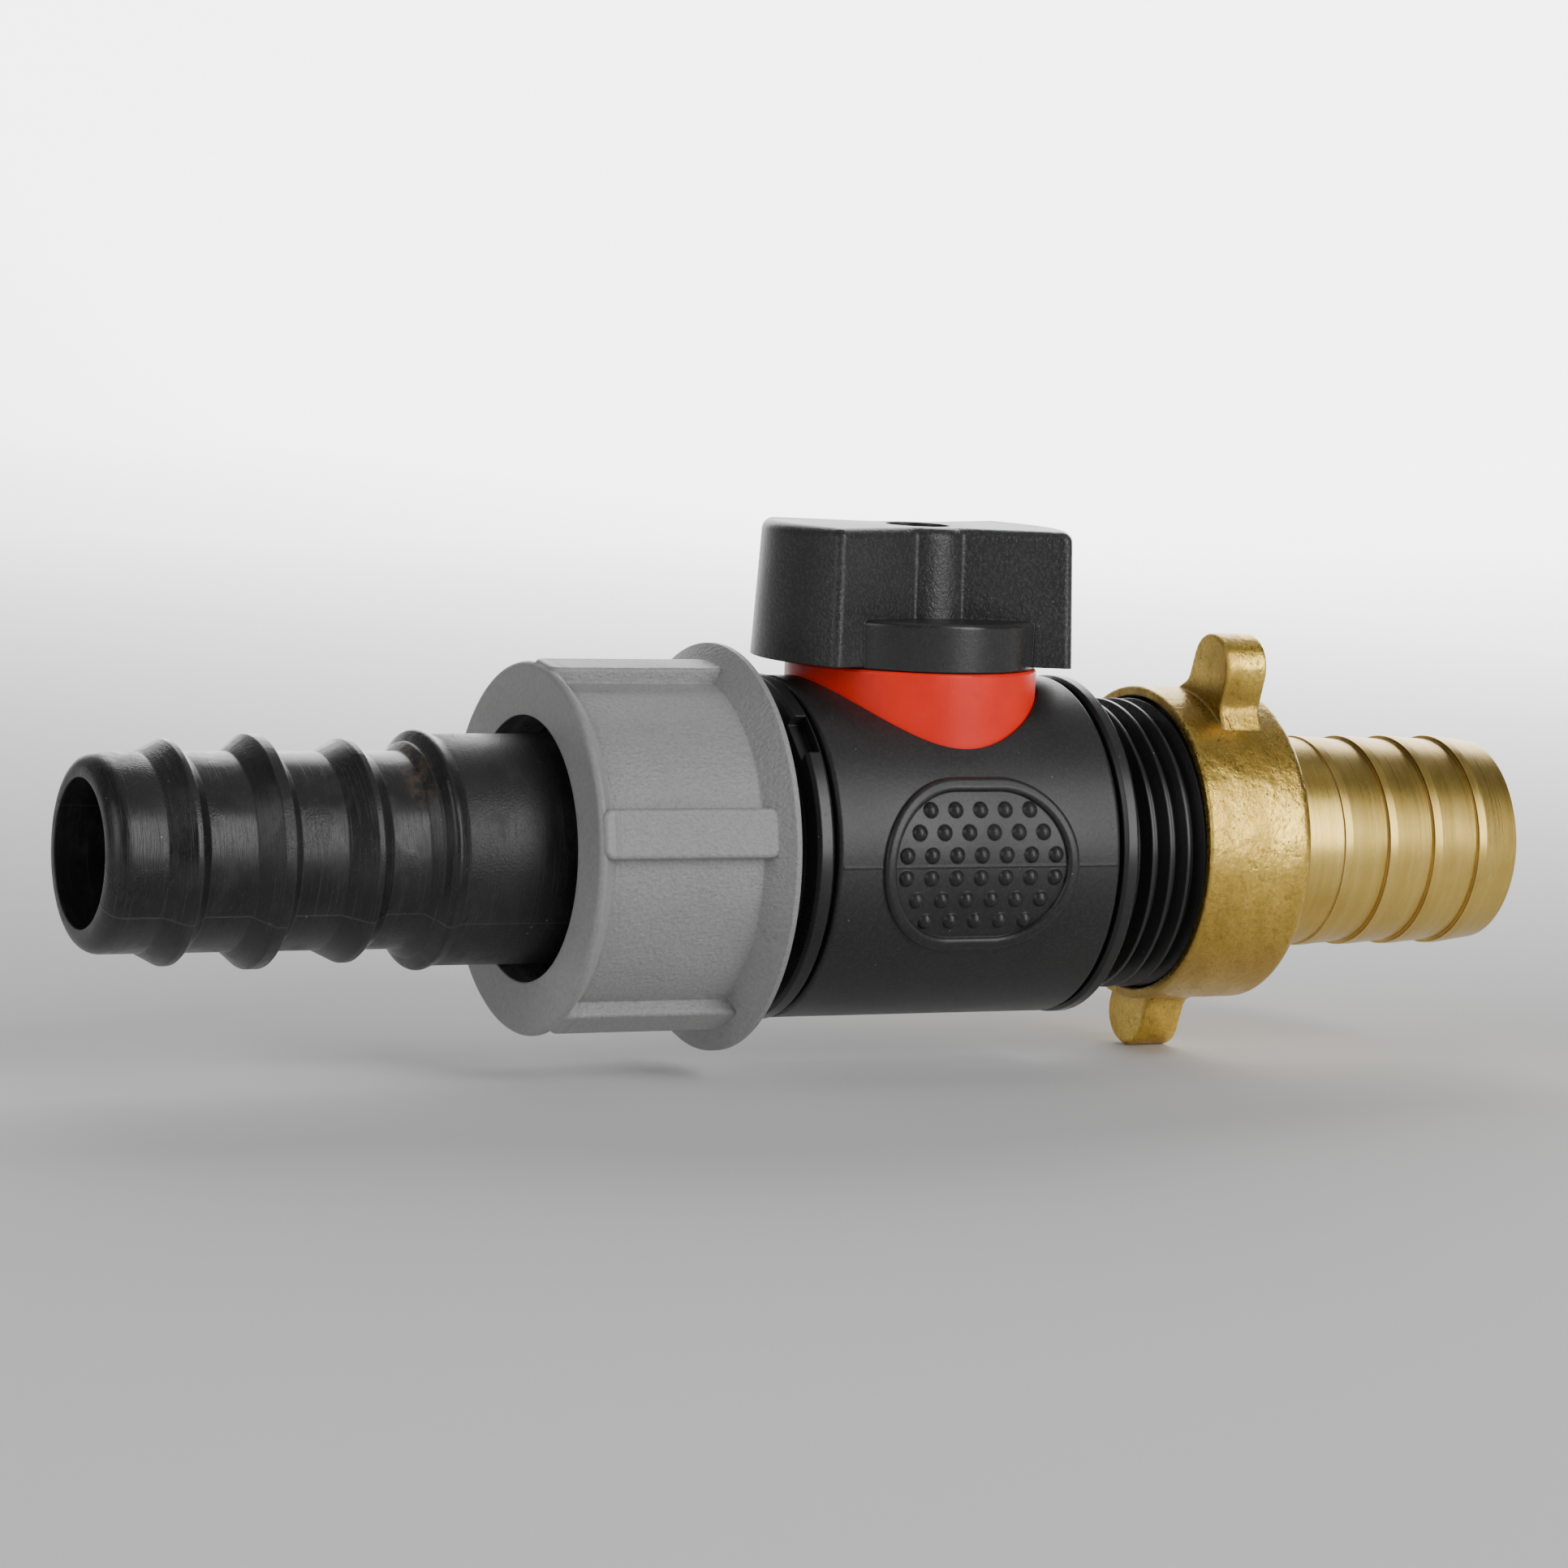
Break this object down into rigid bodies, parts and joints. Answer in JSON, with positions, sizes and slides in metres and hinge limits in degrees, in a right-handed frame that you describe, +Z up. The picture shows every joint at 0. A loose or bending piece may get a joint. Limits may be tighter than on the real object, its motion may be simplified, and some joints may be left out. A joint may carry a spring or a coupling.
{
  "type": "seacock valve",
  "caption": "Inline quarter-turn ball valve for a boat's water line: plastic barrel and knob, plastic hose barb under a ribbed nut, brass hose tail under a wing nut.",
  "frame": {"origin": "centre of the ball, where the flow axis and the stem axis cross", "axes": "+X along the flow towards the brass outlet, +Z up the stem to the knob, +Y across"},
  "size_m": [0.1379, 0.036, 0.0486],
  "materials": {
    "black_plastic": "satin moulded grain",
    "knob_plastic": "coarse moulded grain",
    "barb_plastic": "semi-gloss with fine scratches",
    "grey_plastic": "fine spark-eroded grain",
    "red_plastic": "satin",
    "seal_rubber": "matt",
    "seat_ptfe": "smooth",
    "ball_chrome": "polished",
    "brass_cast": "forged and tumbled, fine dents",
    "brass_turned": "turned",
    "steel": "plain"
  },
  "bodies": {
    "valve": {"valve_body": "black_plastic", "end_connector": "black_plastic", "connector_o_ring": "seal_rubber", "ball_seat_left": "seat_ptfe", "ball_seat_right": "seat_ptfe", "seat_o_ring_left": "seal_rubber", "seat_o_ring_right": "seal_rubber", "stem_collar": "red_plastic"},
    "rotor": {"ball": "ball_chrome", "stem": "brass_turned", "stem_o_ring_lower": "seal_rubber", "stem_o_ring_upper": "seal_rubber", "stem_thrust_washer": "seat_ptfe", "knob": "knob_plastic", "knob_screw": "steel", "screw_washer": "steel"},
    "inlet_gasket": {"union_gasket_left": "seal_rubber"},
    "inlet_nut": {"union_nut": "grey_plastic"},
    "inlet_barb": {"hose_barb": "barb_plastic"},
    "outlet_gasket": {"union_gasket_right": "seal_rubber"},
    "outlet_nut": {"wing_nut": "brass_cast"},
    "outlet_tail": {"hose_tail": "brass_turned"}
  },
  "joints": [
    {"name": "stem_turn", "type": "hinge", "parent": "valve", "child": "rotor", "pos_m": [0, 0, 0], "axis": [0, 0, 1], "range_deg": [-90, 0]},
    {"name": "inlet_union_travel", "type": "slide", "parent": "valve", "child": "inlet_gasket", "axis": [-1, 0, 0], "range_m": [0, 0.0073]},
    {"name": "inlet_nut_turn", "type": "hinge", "parent": "inlet_gasket", "child": "inlet_nut", "pos_m": [-0.028, 0, 0], "axis": [-1, 0, 0], "range_deg": [0, 1440]},
    {"name": "inlet_barb_swivel", "type": "hinge", "parent": "inlet_gasket", "child": "inlet_barb", "pos_m": [-0.03, 0, 0], "axis": [-1, 0, 0], "continuous": true},
    {"name": "outlet_union_travel", "type": "slide", "parent": "valve", "child": "outlet_gasket", "axis": [1, 0, 0], "range_m": [0, 0.0055]},
    {"name": "outlet_nut_turn", "type": "hinge", "parent": "outlet_gasket", "child": "outlet_nut", "pos_m": [0.029, 0, 0], "axis": [1, 0, 0], "range_deg": [0, 1080]},
    {"name": "outlet_tail_swivel", "type": "hinge", "parent": "outlet_gasket", "child": "outlet_tail", "pos_m": [0.031, 0, 0], "axis": [1, 0, 0], "continuous": true}
  ],
  "couplings": [
    {"joint": "inlet_union_travel", "follows": "inlet_nut_turn", "m_per_rad": 0.00028871},
    {"joint": "outlet_union_travel", "follows": "outlet_nut_turn", "m_per_rad": 0.00028871}
  ]
}
